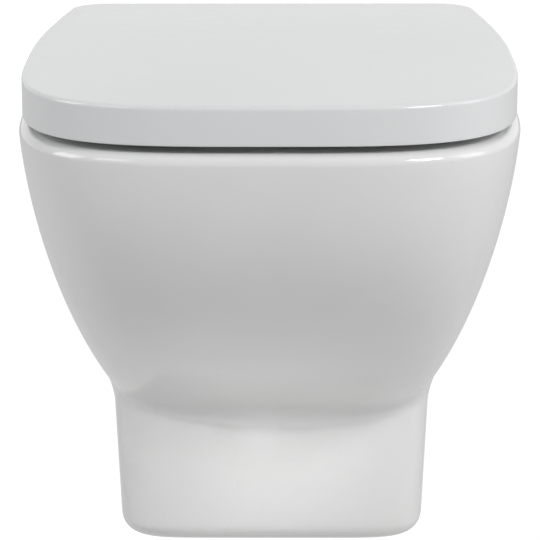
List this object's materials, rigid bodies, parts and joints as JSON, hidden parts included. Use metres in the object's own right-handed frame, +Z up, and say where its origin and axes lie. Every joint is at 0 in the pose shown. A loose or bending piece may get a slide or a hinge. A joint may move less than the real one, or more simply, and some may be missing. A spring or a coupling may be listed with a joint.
{
  "type": "wall hung toilet",
  "caption": "Wall hung ceramic toilet pan on a square plinth, with a wrap-over soft-close lid, seat ring, quick-release hinges and hidden side-fixed wall brackets.",
  "frame": {"origin": "midway between the two wall fixings, on the wall plane", "axes": "+Z up, +Y into the wall, the pan reaches out along -Y, +X to the right seen from the front"},
  "size_m": [0.366, 0.5199, 0.392],
  "materials": {
    "ceramic": "high gloss white glaze",
    "seat_plastic": "gloss white thermoset",
    "buffer": "soft matt elastomer",
    "hinge_metal": "polished chrome",
    "steel": "bright stainless steel",
    "zinc_steel": "zinc plated",
    "rubber": "matt black",
    "dark_plastic": "fine matt",
    "cap_plastic": "gloss white"
  },
  "bodies": {
    "pan": {"pan": "ceramic", "hinge_posts": "hinge_metal", "hinge_bases": "hinge_metal", "hinge_pins": "steel", "pin_caps": "dark_plastic", "hinge_studs": "steel", "deck_gaskets": "rubber", "expansion_bushes": "rubber", "bush_washers": "steel", "bush_nuts": "steel", "wall_brackets": "zinc_steel", "wall_washers": "steel", "wall_nuts": "steel", "clamp_screws": "steel", "clamp_nuts": "steel", "screw_bushes": "dark_plastic", "cover_caps": "cap_plastic"},
    "seat_ring": {"seat_ring": "seat_plastic", "seat_buffers": "buffer", "ring_dampers": "dark_plastic"},
    "lid": {"lid": "seat_plastic", "lid_buffers": "buffer", "lid_dampers": "dark_plastic"},
    "release_button_left": {"release_button_left": "hinge_metal"},
    "release_button_right": {"release_button_right": "hinge_metal"}
  },
  "joints": [
    {"name": "ring_hinge", "type": "hinge", "parent": "pan", "child": "seat_ring", "pos_m": [0, -0.076, 0.1025], "axis": [-1, 0, 0], "range_deg": [0, 92]},
    {"name": "lid_hinge", "type": "hinge", "parent": "seat_ring", "child": "lid", "pos_m": [0, -0.076, 0.1025], "axis": [-1, 0, 0], "range_deg": [0, 92]},
    {"name": "left_release", "type": "slide", "parent": "pan", "child": "release_button_left", "axis": [0, 0, -1], "range_m": [0, 0.002], "stiffness_N_per_m": 300},
    {"name": "right_release", "type": "slide", "parent": "pan", "child": "release_button_right", "axis": [0, 0, -1], "range_m": [0, 0.002], "stiffness_N_per_m": 300}
  ]
}
